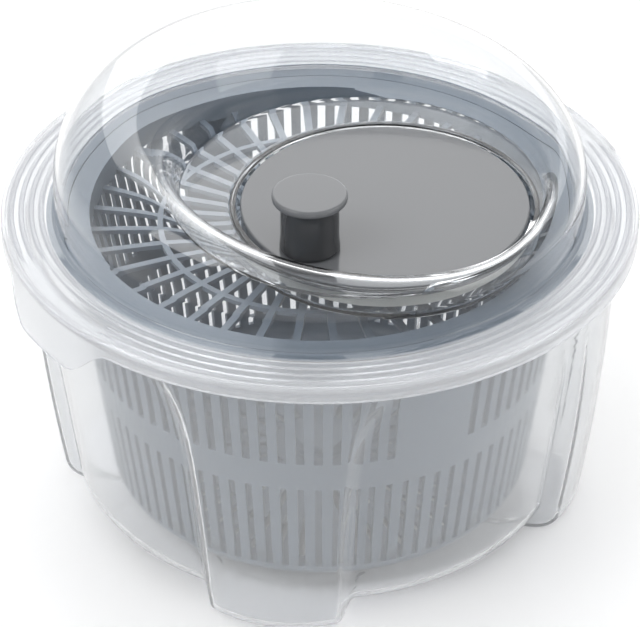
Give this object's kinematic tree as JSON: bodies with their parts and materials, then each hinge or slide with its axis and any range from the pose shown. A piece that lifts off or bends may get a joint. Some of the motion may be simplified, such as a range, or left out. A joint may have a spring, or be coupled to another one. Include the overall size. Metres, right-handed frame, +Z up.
{
  "type": "salad spinner",
  "caption": "Salad spinner with a clear domed lid, crank disc and knob, slotted basket with a barred cover, and a frosted footed bowl.",
  "frame": {"origin": "on the table, under the middle of the bowl", "axes": "+Z up along the bowl's axis, X through the two grips; the crank's axis lies towards -Y"},
  "size_m": [0.267, 0.26, 0.1868],
  "materials": {
    "frosted_plastic": "frosted translucent polypropylene",
    "clear_plastic": "clear glossy styrene",
    "basket_plastic": "satin blue-grey polypropylene",
    "crank_plastic": "glossy moulded grey ABS",
    "knob_plastic": "glossy moulded dark grey ABS",
    "white_nylon": "moulded natural nylon",
    "steel": "bright turned steel"
  },
  "bodies": {
    "bowl_body": {"bowl": "frosted_plastic"},
    "seat_body": {"pivot_cap": "white_nylon"},
    "basket_body": {"basket": "basket_plastic", "pivot_cup": "basket_plastic"},
    "cover_body": {"basket_cover": "basket_plastic", "cover_socket": "basket_plastic"},
    "lid_body": {"lid_dome": "clear_plastic", "crank_bush": "white_nylon", "pinion_bush": "white_nylon"},
    "crank_body": {"crank_disc": "crank_plastic", "ring_gear": "white_nylon", "crank_washer": "steel", "crank_screw": "steel", "knob_spindle": "steel", "knob_screw": "steel"},
    "knob_body": {"knob_grip": "knob_plastic", "knob_cap": "crank_plastic"},
    "pinion_body": {"drive_pinion": "white_nylon", "drive_shaft": "steel", "drive_dog": "white_nylon", "thrust_washer": "steel", "shaft_clip": "steel"}
  },
  "joints": [
    {"name": "lid_lift", "type": "slide", "parent": "bowl_body", "child": "lid_body", "axis": [0, 0, 1], "range_m": [0, 0.3]},
    {"name": "basket_lift", "type": "slide", "parent": "bowl_body", "child": "seat_body", "axis": [0, 0, 1], "range_m": [0, 0.09]},
    {"name": "basket_spin", "type": "hinge", "parent": "seat_body", "child": "basket_body", "pos_m": [0, 0, 0.0181], "axis": [0, 0, 1], "continuous": true},
    {"name": "cover_lift", "type": "slide", "parent": "basket_body", "child": "cover_body", "axis": [0, 0, 1], "range_m": [0, 0.09]},
    {"name": "crank_spin", "type": "hinge", "parent": "lid_body", "child": "crank_body", "pos_m": [0.00687, -0.03534, 0.1525], "axis": [0, 0, 1], "continuous": true},
    {"name": "pinion_spin", "type": "hinge", "parent": "lid_body", "child": "pinion_body", "pos_m": [0, 0, 0.144], "axis": [0, 0, 1], "continuous": true},
    {"name": "knob_spin", "type": "hinge", "parent": "crank_body", "child": "knob_body", "pos_m": [-0.03612, -0.04471, 0.1525], "axis": [0, 0, 1], "continuous": true}
  ],
  "couplings": [
    {"joint": "basket_lift", "follows": "lid_lift", "ratio": 0.3},
    {"joint": "cover_lift", "follows": "lid_lift", "ratio": 0.3},
    {"joint": "crank_spin", "follows": "basket_spin", "ratio": 0.27273},
    {"joint": "pinion_spin", "follows": "basket_spin", "ratio": 1}
  ]
}
